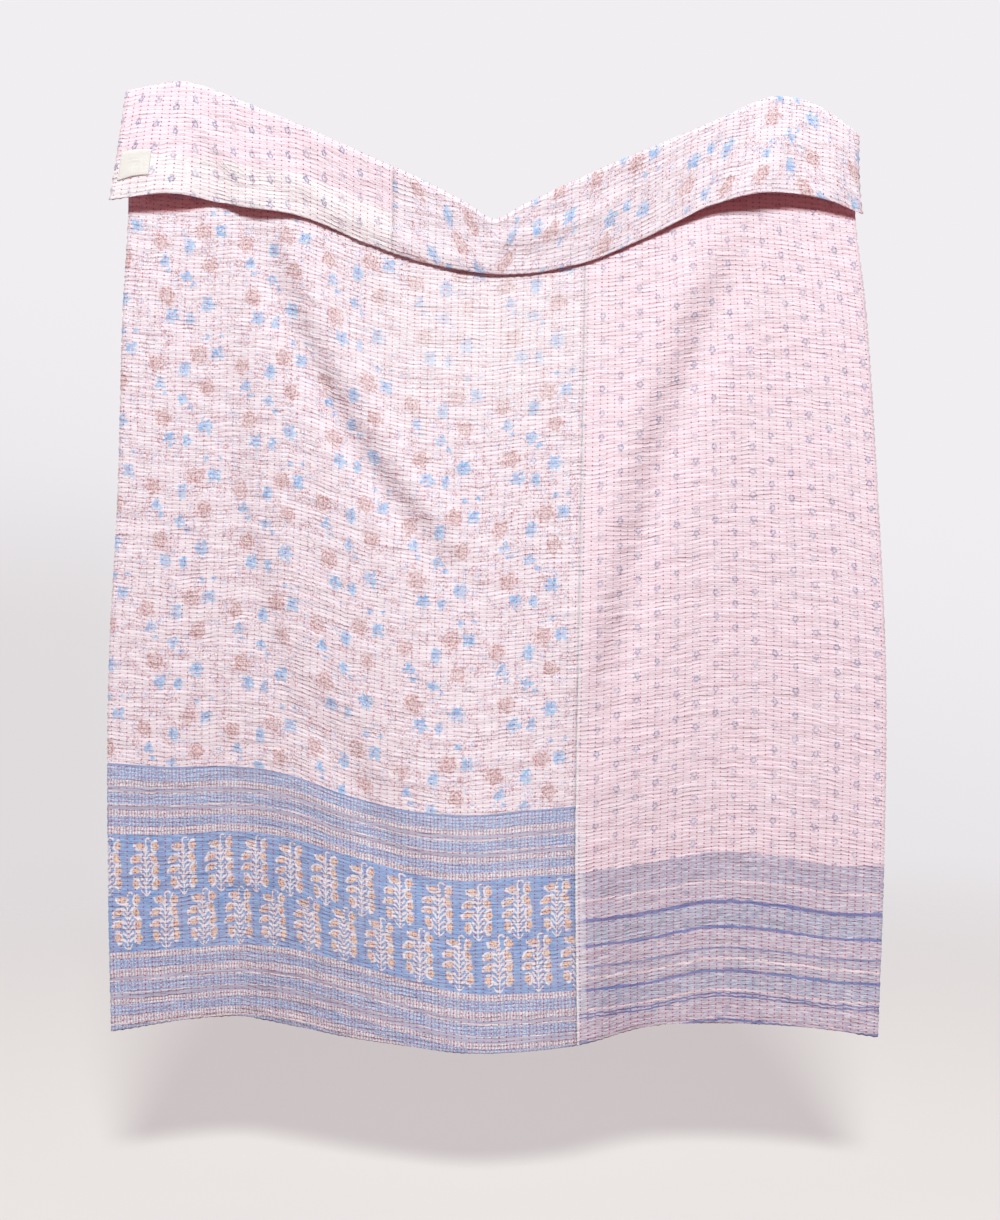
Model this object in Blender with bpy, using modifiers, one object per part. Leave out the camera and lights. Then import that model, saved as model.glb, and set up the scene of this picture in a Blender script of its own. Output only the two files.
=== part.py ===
"""Kantha quilt: two layers of printed cotton under running stitch, hanging from a folded top edge.

Metres. +X to the right, +Z up, the front faces -Y. The origin is the lowest point of the folded top edge.
The cloth goes from the flap's loose edge up to the top fold, over it, and down the front to the hem.
The outer layer of the flap is the back cloth, and the outer layer of the front is the front cloth.
"""

from collections import namedtuple

import bmesh
import bpy
import numpy as np

# Cloth
LAYER_THICKNESS = 0.0016
LAYER_GAP = 0.0003
SEAM_GAP = 0.0006
TURN_RADIUS = 0.010
HEM_DEPTH_POWER = 1.5
FOLD_FADE = 0.10

# Cells of the cloth's grid. The seams lie on whole columns.
COLUMNS = 32
BACK_SEAM_COLUMN = 11
FRONT_SEAM_COLUMN = 19
FLAP_ROWS = 6
TURN_ROWS = 8
BODY_ROWS = (18, 3, 4, 3)
ROWS = FLAP_ROWS + TURN_ROWS + sum(BODY_ROWS)
FRONT_SEAM = FRONT_SEAM_COLUMN / COLUMNS

# Label
LABEL_WIDTH = 0.062
LABEL_HEIGHT = 0.054
LABEL_CENTRE_X = -0.692
LABEL_CENTRE_Z = 0.108
LABEL_THICKNESS = 0.001
LABEL_GAP = 0.0006
LABEL_CELLS = (12, 10)

# One row for each upright section, across is 0 at the left edge and 1 at the right edge.
# Heights of the top fold, the flap's loose edge, three lines of the printed border and the hem,
# how far the hem swings back, and how far the flap's loose edge stands off the front.
Section = namedtuple("Section", "across fold flap line_a line_b line_c hem hem_back stand_off")
SECTIONS = (
    Section(0.00, 0.250, 0.035, -1.065, -1.205, -1.440, -1.595, 0.010, 0.028),
    Section(0.08, 0.268, 0.045, -1.075, -1.210, -1.440, -1.585, 0.055, 0.034),
    Section(0.115, 0.252, 0.036, -1.075, -1.207, -1.438, -1.582, 0.069, 0.012),
    Section(0.15, 0.230, 0.025, -1.075, -1.205, -1.435, -1.580, 0.075, 0.021),
    Section(0.23, 0.180, 0.005, -1.090, -1.215, -1.435, -1.590, 0.035, 0.010),
    Section(0.31, 0.125, -0.045, -1.130, -1.245, -1.455, -1.600, -0.020, 0.009),
    Section(0.39, 0.070, -0.085, -1.155, -1.275, -1.480, -1.605, -0.070, 0.009),
    Section(0.44, 0.030, -0.100, -1.160, -1.285, -1.495, -1.610, -0.090, 0.009),
    Section(0.475, 0.000, -0.106, -1.160, -1.285, -1.500, -1.610, -0.098, 0.009),
    Section(0.51, 0.026, -0.106, -1.155, -1.280, -1.500, -1.610, -0.092, 0.009),
    Section(0.60, 0.090, -0.080, -1.145, -1.275, -1.500, -1.605, -0.050, 0.009),
    Section(0.69, 0.140, -0.030, -1.130, -1.265, -1.500, -1.590, 0.025, 0.010),
    Section(0.78, 0.190, 0.025, -1.110, -1.245, -1.480, -1.588, 0.048, 0.023),
    Section(0.88, 0.240, 0.048, -1.115, -1.255, -1.488, -1.590, 0.035, 0.036),
    Section(0.94, 0.218, 0.038, -1.125, -1.268, -1.495, -1.593, 0.012, 0.028),
    Section(1.00, 0.165, 0.010, -1.140, -1.265, -1.495, -1.600, -0.015, 0.014),
)

# The side edges of the front and the seam between its two cloths, at heights down the front.
Side = namedtuple("Side", "height left seam right")
SIDES = (
    Side(0.26, -0.711, 0.194, 0.733),
    Side(0.04, -0.708, 0.191, 0.718),
    Side(-0.16, -0.719, 0.188, 0.739),
    Side(-0.55, -0.731, 0.180, 0.764),
    Side(-0.86, -0.748, 0.174, 0.778),
    Side(-1.26, -0.751, 0.167, 0.774),
    Side(-1.60, -0.745, 0.170, 0.761),
)
# The flap's loose corners reach out past the front's edges.
FLAP_LEFT_FLARE = 0.032
FLAP_RIGHT_FLARE = 0.012
FLARE_SHARE = 0.13
FLAP_FOLD_START = 0.4

# Soft folds, each along a curve through a start, a middle and an end in the plane of the front.
# The curve runs down or across. Push is how far the cloth goes back at the curve, or forward if negative.
Fold = namedtuple("Fold", "runs x0 z0 x1 z1 x2 z2 half_width push")
FRONT_FOLDS = (
    Fold("down", -0.455, 0.000, -0.325, -0.330, -0.125, -0.640, 0.040, 0.009),
    Fold("down", -0.400, -0.010, -0.265, -0.340, -0.065, -0.640, 0.050, -0.008),
    Fold("down", -0.525, -0.020, -0.505, -0.500, -0.400, -0.950, 0.040, 0.006),
    Fold("down", -0.465, -0.050, -0.445, -0.500, -0.340, -0.950, 0.050, -0.004),
    Fold("down", -0.640, -0.050, -0.640, -0.600, -0.620, -1.200, 0.060, -0.006),
    Fold("down", -0.330, -0.950, -0.235, -1.160, -0.130, -1.330, 0.050, 0.008),
    Fold("down", 0.480, -0.100, 0.350, -0.450, 0.240, -0.960, 0.048, 0.009),
    Fold("down", 0.420, -0.050, 0.290, -0.400, 0.200, -0.900, 0.055, -0.007),
    Fold("down", 0.560, -0.200, 0.550, -0.650, 0.540, -1.150, 0.060, 0.007),
    Fold("down", 0.660, -0.050, 0.660, -0.600, 0.650, -1.250, 0.060, -0.006),
)
FLAP_FOLDS = (
    Fold("across", -0.440, 0.170, -0.200, 0.020, 0.030, -0.050, 0.022, -0.004),
    Fold("across", 0.000, -0.048, 0.120, -0.020, 0.260, 0.030, 0.020, -0.004),
    Fold("down", -0.590, 0.240, -0.540, 0.160, -0.480, 0.080, 0.030, -0.005),
    Fold("down", -0.660, 0.240, -0.660, 0.150, -0.660, 0.050, 0.028, -0.004),
    Fold("down", 0.600, 0.220, 0.560, 0.130, 0.500, 0.030, 0.034, -0.005),
    Fold("down", 0.660, 0.200, 0.670, 0.120, 0.680, 0.030, 0.028, -0.004),
)

# Colours of the plain model
MATERIALS = {
    "front_floral_panel": ((0.83, 0.80, 0.86, 1.0), 0.90),
    "front_sprig_panel": ((0.87, 0.76, 0.80, 1.0), 0.90),
    "back_sprig_panel": ((0.88, 0.77, 0.80, 1.0), 0.90),
    "back_floral_panel": ((0.83, 0.80, 0.86, 1.0), 0.90),
    "label": ((0.90, 0.87, 0.78, 1.0), 0.85),
}


def smooth_curve(at, knots, values):
    """A smooth curve through the knots: cubic pieces whose slopes follow the neighbouring knots."""
    knots = np.asarray(knots, float)
    values = np.asarray(values, float)
    slopes = np.gradient(values, knots)
    at = np.clip(at, knots[0], knots[-1])
    piece = np.clip(np.searchsorted(knots, at, side="right") - 1, 0, len(knots) - 2)
    width = knots[piece + 1] - knots[piece]
    t = (at - knots[piece]) / width
    start = values[piece] * (1 + 2 * t) * (1 - t) ** 2 + values[piece + 1] * t * t * (3 - 2 * t)
    bend = slopes[piece] * t * (1 - t) ** 2 - slopes[piece + 1] * t * t * (1 - t)
    return start + bend * width


def section_value(name, across):
    return smooth_curve(across, [s.across for s in SECTIONS], [getattr(s, name) for s in SECTIONS])


def side_value(name, height):
    upward = SIDES[::-1]
    return smooth_curve(height, [s.height for s in upward], [getattr(s, name) for s in upward])


def ease(t):
    t = np.clip(t, 0.0, 1.0)
    return t * t * (3 - 2 * t)


def across_to_x(across, height):
    """The place across the front at a height: even between each edge and the seam."""
    left = side_value("left", height)
    seam = side_value("seam", height)
    right = side_value("right", height)
    in_left_cloth = left + (seam - left) * across / FRONT_SEAM
    in_right_cloth = seam + (right - seam) * (across - FRONT_SEAM) / (1 - FRONT_SEAM)
    return np.where(across <= FRONT_SEAM, in_left_cloth, in_right_cloth)


def fold_push(folds, x, z):
    """The sum of the soft folds at a point of the front."""
    total = np.zeros(np.broadcast(x, z).shape)
    for fold in folds:
        along, cross = (z, x) if fold.runs == "down" else (x, z)
        ends = ((fold.z0, fold.x0), (fold.z1, fold.x1), (fold.z2, fold.x2))
        if fold.runs == "across":
            ends = tuple((b, a) for a, b in ends)
        (a0, c0), (a1, c1), (a2, c2) = sorted(ends)
        centre = (
            c0 * (along - a1) * (along - a2) / ((a0 - a1) * (a0 - a2))
            + c1 * (along - a0) * (along - a2) / ((a1 - a0) * (a1 - a2))
            + c2 * (along - a0) * (along - a1) / ((a2 - a0) * (a2 - a1))
        )
        fade = (a2 - a0) / 3
        inside = ease((along - a0) / fade + 0.5) * ease((a2 - along) / fade + 0.5)
        total += fold.push * inside * np.exp(-(((cross - centre) / fold.half_width) ** 2))
    return total


def front_depth(across, x, z):
    """How far back the middle of the cloth lies in the long front."""
    fold = section_value("fold", across)
    hem = section_value("hem", across)
    down = np.clip((fold - TURN_RADIUS - z) / (fold - TURN_RADIUS - hem), 0.0, 1.0)
    swing = section_value("hem_back", across) * down**HEM_DEPTH_POWER
    below_turn = ease((fold - TURN_RADIUS - z) / FOLD_FADE)
    return TURN_RADIUS + swing + fold_push(FRONT_FOLDS, x, z) * below_turn


def front_point(across, line):
    """A point of the front, line runs 0 at the turn, 1, 2, 3 at the border's lines and 4 at the hem."""
    levels = [section_value("fold", across) - TURN_RADIUS]
    levels += [section_value(name, across) for name in ("line_a", "line_b", "line_c", "hem")]
    step = np.clip(np.floor(line).astype(int), 0, 3)
    levels = np.stack(np.broadcast_arrays(*levels))
    upper = np.take_along_axis(levels, step[None], 0)[0]
    lower = np.take_along_axis(levels, step[None] + 1, 0)[0]
    z = upper + (lower - upper) * (line - step)
    x = across_to_x(across, z)
    return np.stack([x, front_depth(across, x, z), z], axis=-1)


def flap_point(across, down):
    """A point of the flap, down runs 0 at the turn and 1 at its loose edge."""
    top = section_value("fold", across) - TURN_RADIUS
    z = top + (section_value("flap", across) - top) * down
    x = across_to_x(across, z)
    front = front_depth(across, x, z)
    off = 2 * TURN_RADIUS + (section_value("stand_off", across) - 2 * TURN_RADIUS) * down
    y = front - off + fold_push(FLAP_FOLDS, x, z) * ease(down / FLAP_FOLD_START)
    flare = FLAP_RIGHT_FLARE * ease(1 - (1 - across) / FLARE_SHARE)
    flare -= FLAP_LEFT_FLARE * ease(1 - across / FLARE_SHARE)
    return np.stack([x + flare * down, y, z], axis=-1)


def turn_point(across, turn):
    """A point of the top turn, turn runs 0 at the flap and 1 at the front."""
    angle = np.pi * turn
    z = section_value("fold", across) - TURN_RADIUS * (1 - np.sin(angle))
    x = across_to_x(across, z)
    return np.stack([x, -TURN_RADIUS * np.cos(angle), z], axis=-1)


def cloth_middle():
    """The middle surface, as points by row and column, and its directions away from the front cloth."""
    across = np.linspace(0.0, 1.0, COLUMNS + 1)[None, :]
    down = np.linspace(1.0, 0.0, FLAP_ROWS + 1)[:, None]
    turn = np.linspace(0.0, 1.0, TURN_ROWS + 1)[1:-1, None]
    lines = [step + np.arange(rows) / rows for step, rows in enumerate(BODY_ROWS)]
    lines = np.concatenate(lines + [[4.0]])[:, None]
    flap = flap_point(*np.broadcast_arrays(across, down))
    top = turn_point(*np.broadcast_arrays(across, turn))
    front = front_point(*np.broadcast_arrays(across, lines))
    points = np.concatenate([flap, top, front])
    points[..., 2] -= LAYER_THICKNESS + LAYER_GAP / 2
    out = np.cross(np.gradient(points, axis=1), np.gradient(points, axis=0))
    return points, out / np.linalg.norm(out, axis=-1, keepdims=True)


def material(name):
    colour, roughness = MATERIALS[name]
    made = bpy.data.materials.new(name)
    made.use_nodes = True
    shader = made.node_tree.nodes["Principled BSDF"]
    shader.inputs["Base Color"].default_value = colour
    shader.inputs["Roughness"].default_value = roughness
    shader.inputs["Metallic"].default_value = 0.0
    return made


def solid_sheet(name, shaped, thickness, offset, collection):
    """An object from a shaped open surface, made solid to one side of it."""
    bmesh.ops.triangulate(shaped, faces=shaped.faces, quad_method="FIXED")
    mesh = bpy.data.meshes.new(name)
    shaped.to_mesh(mesh)
    shaped.free()
    mesh.shade_smooth()
    mesh.materials.append(material(name))
    sheet = bpy.data.objects.new(name, mesh)
    collection.objects.link(sheet)
    shell = sheet.modifiers.new("thickness", "SOLIDIFY")
    shell.thickness = thickness
    shell.offset = offset
    return sheet


def panel(name, first, last, is_back, cloth, collection):
    """One cloth of one layer, between two columns of the grid."""
    points, out = cloth
    grid = bmesh.new()
    bmesh.ops.create_grid(grid, x_segments=last - first, y_segments=ROWS, size=0.5)
    side = 1 if is_back else -1
    for vertex in grid.verts:
        column = first + round((vertex.co.x + 0.5) * (last - first))
        row = round((vertex.co.y + 0.5) * ROWS)
        place = points[row, column] + out[row, column] * side * LAYER_GAP / 2
        if column == first and first > 0:
            place[0] += SEAM_GAP / 2
        if column == last and last < COLUMNS:
            place[0] -= SEAM_GAP / 2
        vertex.co = place
    return solid_sheet(name, grid, LAYER_THICKNESS, side, collection)


def label(flap_cloth, collection):
    """The small cotton label, lying on the flap's outer face."""
    columns, rows = LABEL_CELLS
    bpy.context.view_layer.update()
    under = flap_cloth.evaluated_get(bpy.context.evaluated_depsgraph_get())
    grid = bmesh.new()
    bmesh.ops.create_grid(grid, x_segments=columns, y_segments=rows, size=0.5)
    for vertex in grid.verts:
        x = LABEL_CENTRE_X + vertex.co.x * LABEL_WIDTH
        z = LABEL_CENTRE_Z + vertex.co.y * LABEL_HEIGHT
        found, place, _, _ = under.ray_cast((x, -1.0, z), (0.0, 1.0, 0.0))
        if not found:
            raise ValueError(f"the label reaches past the flap at {x:.3f}, {z:.3f}")
        vertex.co = (x, place.y - LABEL_GAP, z)
    return solid_sheet("label", grid, LABEL_THICKNESS, 1, collection)


def main():
    for old in list(bpy.data.objects):
        bpy.data.objects.remove(old)
    collection = bpy.data.collections.new("kantha_quilt")
    bpy.context.scene.collection.children.link(collection)
    cloth = cloth_middle()
    panel("front_floral_panel", 0, FRONT_SEAM_COLUMN, False, cloth, collection)
    panel("front_sprig_panel", FRONT_SEAM_COLUMN, COLUMNS, False, cloth, collection)
    flap_cloth = panel("back_sprig_panel", 0, BACK_SEAM_COLUMN, True, cloth, collection)
    panel("back_floral_panel", BACK_SEAM_COLUMN, COLUMNS, True, cloth, collection)
    label(flap_cloth, collection)


main()
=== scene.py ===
"""Looks of the kantha quilt: puckered printed cottons, running stitches, label and a plain pale setting."""

from collections import namedtuple
from itertools import pairwise

import bpy
import numpy as np
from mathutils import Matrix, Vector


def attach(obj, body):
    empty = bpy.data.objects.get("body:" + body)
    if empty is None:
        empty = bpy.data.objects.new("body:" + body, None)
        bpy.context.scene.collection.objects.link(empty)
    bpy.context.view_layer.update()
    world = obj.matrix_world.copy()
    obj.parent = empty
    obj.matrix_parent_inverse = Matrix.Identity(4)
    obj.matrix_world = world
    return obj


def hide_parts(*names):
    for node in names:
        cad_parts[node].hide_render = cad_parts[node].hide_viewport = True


bl_info = {
    "name": "Kantha quilt",
    "version": (1, 0, 0),
    "blender": (4, 5, 0),
    "location": "3D View > Sidebar > Quilt",
    "description": "Makes the hanging kantha quilt's cloths, stitches, label and setting",
    "category": "Add Mesh",
}

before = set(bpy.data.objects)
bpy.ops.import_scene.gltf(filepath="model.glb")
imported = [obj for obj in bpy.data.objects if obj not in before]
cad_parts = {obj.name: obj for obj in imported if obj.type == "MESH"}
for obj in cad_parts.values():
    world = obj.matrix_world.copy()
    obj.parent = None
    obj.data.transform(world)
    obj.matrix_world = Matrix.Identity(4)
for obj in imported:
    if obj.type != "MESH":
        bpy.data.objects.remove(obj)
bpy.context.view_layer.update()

# The hanging shape, in metres, as in the solids, with some soft folds a little stronger
LAYER_THICKNESS = 0.0016
LAYER_GAP = 0.0003
TURN_RADIUS = 0.010
HEM_DEPTH_POWER = 1.5
FOLD_FADE = 0.10
FRONT_SEAM = 19 / 32
BACK_SEAM = 11 / 32
SEAM_GAP = 0.0006

# One row for each upright section, where across is 0 at the left edge and 1 at the right edge.
# Heights of the top fold, the flap's loose edge, three lines of the printed border and the hem,
# how far the hem swings back, how far the flap stands off, and the place across the flat cut cloth.
Section = namedtuple(
    "Section", "across fold flap line_a line_b line_c hem hem_back stand_off cut"
)
SECTIONS = (
    Section(0.00, 0.250, 0.035, -1.065, -1.205, -1.440, -1.595, 0.010, 0.028, 0.000),
    Section(0.08, 0.268, 0.045, -1.075, -1.210, -1.440, -1.585, 0.055, 0.034, 0.134),
    Section(0.115, 0.252, 0.036, -1.075, -1.207, -1.438, -1.582, 0.069, 0.012, 0.191),
    Section(0.15, 0.230, 0.025, -1.075, -1.205, -1.435, -1.580, 0.075, 0.021, 0.248),
    Section(0.23, 0.180, 0.005, -1.090, -1.215, -1.435, -1.590, 0.035, 0.010, 0.380),
    Section(0.31, 0.125, -0.045, -1.130, -1.245, -1.455, -1.600, -0.020, 0.007, 0.511),
    Section(0.39, 0.070, -0.085, -1.155, -1.275, -1.480, -1.605, -0.070, 0.007, 0.637),
    Section(0.44, 0.030, -0.100, -1.160, -1.285, -1.495, -1.610, -0.090, 0.007, 0.714),
    Section(0.475, 0.000, -0.106, -1.160, -1.285, -1.500, -1.610, -0.098, 0.007, 0.769),
    Section(0.51, 0.026, -0.106, -1.155, -1.280, -1.500, -1.610, -0.092, 0.007, 0.823),
    Section(0.60, 0.090, -0.080, -1.145, -1.275, -1.500, -1.605, -0.050, 0.009, 0.964),
    Section(0.69, 0.140, -0.030, -1.130, -1.265, -1.500, -1.590, 0.025, 0.010, 1.095),
    Section(0.78, 0.190, 0.025, -1.110, -1.245, -1.480, -1.588, 0.048, 0.023, 1.226),
    Section(0.88, 0.240, 0.048, -1.115, -1.255, -1.488, -1.590, 0.035, 0.036, 1.371),
    Section(0.94, 0.218, 0.038, -1.125, -1.268, -1.495, -1.593, 0.012, 0.028, 1.458),
    Section(1.00, 0.165, 0.010, -1.140, -1.265, -1.495, -1.600, -0.015, 0.014, 1.545),
)

Side = namedtuple("Side", "height left seam right")
SIDES = (
    Side(0.26, -0.711, 0.194, 0.733),
    Side(0.04, -0.708, 0.191, 0.718),
    Side(-0.16, -0.719, 0.188, 0.739),
    Side(-0.55, -0.731, 0.180, 0.764),
    Side(-0.86, -0.748, 0.174, 0.778),
    Side(-1.26, -0.751, 0.167, 0.774),
    Side(-1.60, -0.745, 0.170, 0.761),
)
FLAP_LEFT_FLARE = 0.032
FLAP_RIGHT_FLARE = 0.012
FLARE_SHARE = 0.13
FLAP_FOLD_START = 0.4
FLAP_COVER = 0.020
SHADE_REACH = 0.80
EDGE_BAND = 0.012
HEM_BAND = 0.009
PALE_END = 0.079

Fold = namedtuple("Fold", "runs x0 z0 x1 z1 x2 z2 half_width push")
FRONT_FOLDS = (
    Fold("down", -0.455, 0.000, -0.325, -0.330, -0.125, -0.640, 0.040, 0.013),
    Fold("down", -0.400, -0.010, -0.265, -0.340, -0.065, -0.640, 0.050, -0.011),
    Fold("down", -0.525, -0.020, -0.505, -0.500, -0.400, -0.950, 0.040, 0.006),
    Fold("down", -0.465, -0.050, -0.445, -0.500, -0.340, -0.950, 0.050, -0.004),
    Fold("down", -0.640, -0.050, -0.640, -0.600, -0.620, -1.200, 0.060, -0.006),
    Fold("down", -0.330, -0.950, -0.235, -1.160, -0.130, -1.330, 0.050, 0.008),
    Fold("down", 0.480, -0.100, 0.350, -0.450, 0.240, -0.960, 0.045, 0.014),
    Fold("down", 0.420, -0.050, 0.290, -0.400, 0.200, -0.900, 0.050, -0.012),
    Fold("down", 0.560, -0.200, 0.550, -0.650, 0.540, -1.150, 0.060, 0.007),
    Fold("down", 0.660, -0.050, 0.660, -0.600, 0.650, -1.250, 0.060, -0.006),
)
FLAP_FOLDS = (
    Fold("across", -0.440, 0.120, -0.200, -0.030, 0.030, -0.100, 0.026, -0.005),
    Fold("across", 0.000, -0.048, 0.120, -0.020, 0.260, 0.030, 0.020, -0.004),
    Fold("down", -0.590, 0.240, -0.540, 0.160, -0.480, 0.080, 0.030, -0.005),
    Fold("down", -0.660, 0.240, -0.660, 0.150, -0.660, 0.050, 0.028, -0.004),
    Fold("down", 0.600, 0.220, 0.560, 0.130, 0.500, 0.030, 0.034, -0.005),
    Fold("down", 0.660, 0.200, 0.670, 0.120, 0.680, 0.030, 0.028, -0.004),
)

# The printed border's heights above the hem on the flat cloth
PRINT_LINE_A = 0.526
PRINT_LINE_B = 0.383
PRINT_LINE_C = 0.150

# The stitched grid: three rows of points to a stitch and two columns to a line of stitches
STITCHES_ALONG = 240
FLAT_LENGTH = 2.06
ROWS_TO_A_STITCH = 3
COLUMNS_TO_A_LINE = 2
ROWS = STITCHES_ALONG * ROWS_TO_A_STITCH
STITCH = FLAT_LENGTH / STITCHES_ALONG
# Half a stitch's thread at most, as a share of the way from the row above it to the row below
LONGEST_STITCH = 0.36
FLAP_SAMPLES = 120
TURN_SAMPLES = 48
FRONT_SAMPLES = 700
# The hidden inner faces are coarser, but close together where the cloth turns over.
INNER_COLUMN_STEP = 2
INNER_TURN_STEP = 4
INNER_FLAT_STEP = 12
INNER_TURN_ROWS = 96

# One row for each cloth: its layer, its span across, its lines of stitches and its part of the flat cut
Cloth = namedtuple("Cloth", "name node slot side start end lines")
CLOTHS = (
    Cloth("front_floral_cloth", "front_floral_panel", "floral_cotton", -1, 0.0, FRONT_SEAM, 64),
    Cloth("front_sprig_cloth", "front_sprig_panel", "sprig_cotton", -1, FRONT_SEAM, 1.0, 41),
    Cloth("back_sprig_cloth", "back_sprig_panel", "sprig_cotton", 1, 0.0, BACK_SEAM, 37),
    Cloth("back_floral_cloth", "back_floral_panel", "floral_cotton", 1, BACK_SEAM, 1.0, 64),
)

LABEL_LEFT = 0.011
LABEL_WIDTH = 0.062
LABEL_FROM_EDGE = 0.037
LABEL_HEIGHT = 0.054
LABEL_CELLS = (30, 26)
LABEL_THICKNESS = 0.0007
LABEL_LIFT = 0.0016

FLOOR_DROP = 1.92
CAMERA_DISTANCE = 3.25
CAMERA_X = 0.0216
CAMERA_Z = -0.766
PICTURE_HEIGHT = 1220 * 0.00196
SENSOR = 36.0
FULL_TURN = 6.283
LAMP_AIM = Vector((0.0, 0.0, -0.6))


def shade(red, green, blue):
    """A colour given as it shows on a screen, from 0 to 255, as linear light."""
    part = np.array((red, green, blue)) / 255
    linear = np.where(part <= 0.04045, part / 12.92, ((part + 0.055) / 1.055) ** 2.4)
    return tuple(float(v) for v in linear)


def smooth_curve(at, knots, values):
    """A smooth curve through the knots: cubic pieces whose slopes follow the neighbouring knots."""
    knots = np.asarray(knots, float)
    values = np.asarray(values, float)
    slopes = np.gradient(values, knots)
    at = np.clip(at, knots[0], knots[-1])
    piece = np.clip(np.searchsorted(knots, at, side="right") - 1, 0, len(knots) - 2)
    width = knots[piece + 1] - knots[piece]
    t = (at - knots[piece]) / width
    start = values[piece] * (1 + 2 * t) * (1 - t) ** 2 + values[piece + 1] * t * t * (3 - 2 * t)
    bend = slopes[piece] * t * (1 - t) ** 2 - slopes[piece + 1] * t * t * (1 - t)
    return start + bend * width


def section_value(name, across):
    return smooth_curve(across, [s.across for s in SECTIONS], [getattr(s, name) for s in SECTIONS])


def side_value(name, height):
    upward = SIDES[::-1]
    return smooth_curve(height, [s.height for s in upward], [getattr(s, name) for s in upward])


def ease(t):
    t = np.clip(t, 0.0, 1.0)
    return t * t * (3 - 2 * t)


def across_to_x(across, height):
    left = side_value("left", height)
    seam = side_value("seam", height)
    right = side_value("right", height)
    in_left_cloth = left + (seam - left) * across / FRONT_SEAM
    in_right_cloth = seam + (right - seam) * (across - FRONT_SEAM) / (1 - FRONT_SEAM)
    return np.where(across <= FRONT_SEAM, in_left_cloth, in_right_cloth)


def fold_push(folds, x, z):
    """The sum of the soft folds at a point of the front."""
    total = np.zeros(np.broadcast(x, z).shape)
    for fold in folds:
        along, cross = (z, x) if fold.runs == "down" else (x, z)
        ends = ((fold.z0, fold.x0), (fold.z1, fold.x1), (fold.z2, fold.x2))
        if fold.runs == "across":
            ends = tuple((b, a) for a, b in ends)
        (a0, c0), (a1, c1), (a2, c2) = sorted(ends)
        centre = (
            c0 * (along - a1) * (along - a2) / ((a0 - a1) * (a0 - a2))
            + c1 * (along - a0) * (along - a2) / ((a1 - a0) * (a1 - a2))
            + c2 * (along - a0) * (along - a1) / ((a2 - a0) * (a2 - a1))
        )
        fade = (a2 - a0) / 3
        inside = ease((along - a0) / fade + 0.5) * ease((a2 - along) / fade + 0.5)
        total += fold.push * inside * np.exp(-(((cross - centre) / fold.half_width) ** 2))
    return total


def front_depth(across, x, z):
    fold = section_value("fold", across)
    hem = section_value("hem", across)
    down = np.clip((fold - TURN_RADIUS - z) / (fold - TURN_RADIUS - hem), 0.0, 1.0)
    swing = section_value("hem_back", across) * down**HEM_DEPTH_POWER
    below_turn = ease((fold - TURN_RADIUS - z) / FOLD_FADE)
    return TURN_RADIUS + swing + fold_push(FRONT_FOLDS, x, z) * below_turn


def front_points(across, line):
    """Points of the front, line runs 0 at the turn, 1, 2, 3 at the border's lines and 4 at the hem."""
    levels = [section_value("fold", across) - TURN_RADIUS]
    levels += [section_value(name, across) for name in ("line_a", "line_b", "line_c", "hem")]
    step = np.clip(np.floor(line).astype(int), 0, 3)
    levels = np.stack(np.broadcast_arrays(*levels))
    upper = np.take_along_axis(levels, step[None], 0)[0]
    lower = np.take_along_axis(levels, step[None] + 1, 0)[0]
    z = upper + (lower - upper) * (line - step)
    x = across_to_x(across, z)
    return np.stack([x, front_depth(across, x, z), z], axis=-1)


def flap_points(across, down):
    """Points of the flap, down runs 0 at the turn and 1 at its loose edge."""
    top = section_value("fold", across) - TURN_RADIUS
    z = top + (section_value("flap", across) - top) * down
    x = across_to_x(across, z)
    front = front_depth(across, x, z)
    off = 2 * TURN_RADIUS + (section_value("stand_off", across) - 2 * TURN_RADIUS) * down
    y = front - off + fold_push(FLAP_FOLDS, x, z) * ease(down / FLAP_FOLD_START)
    flare = FLAP_RIGHT_FLARE * ease(1 - (1 - across) / FLARE_SHARE)
    flare -= FLAP_LEFT_FLARE * ease(1 - across / FLARE_SHARE)
    return np.stack([x + flare * down, y, z], axis=-1)


def turn_points(across, turn):
    """Points of the top turn, turn runs 0 at the flap and 1 at the front."""
    angle = np.pi * turn
    z = section_value("fold", across) - TURN_RADIUS * (1 - np.sin(angle))
    x = across_to_x(across, z)
    return np.stack([x, -TURN_RADIUS * np.cos(angle), z], axis=-1)


def soft_noise(u, v, cell_u, cell_v, seed):
    """Smooth noise from -1 to 1 over the flat cloth, the same each run."""
    values = np.random.default_rng(seed).uniform(-1, 1, (64, 512))
    x = np.asarray(u) / cell_u + 3
    y = np.asarray(v) / cell_v + 3
    column = np.floor(x).astype(int)
    row = np.floor(y).astype(int)
    fx = ease(x - column)
    fy = ease(y - row)
    corner = [values[(column + i) % 64, (row + j) % 512] for i in (0, 1) for j in (0, 1)]
    low = corner[0] * (1 - fy) + corner[1] * fy
    high = corner[2] * (1 - fy) + corner[3] * fy
    return low * (1 - fx) + high * fx


def stitch_drift(u, v):
    """How far the stitches run ahead, in stitches, so that the puckers wave. None at the loose ends."""
    wander = 0.5 * soft_noise(u, v, 0.120, 0.090, 11) + 0.3 * soft_noise(u, v, 0.045, 0.040, 12)
    wander += 0.16 * soft_noise(u, v, 0.015, 0.020, 13)
    ends = ease(v / 0.05) * ease((FLAT_LENGTH - v) / 0.05)
    return wander * ends


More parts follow.
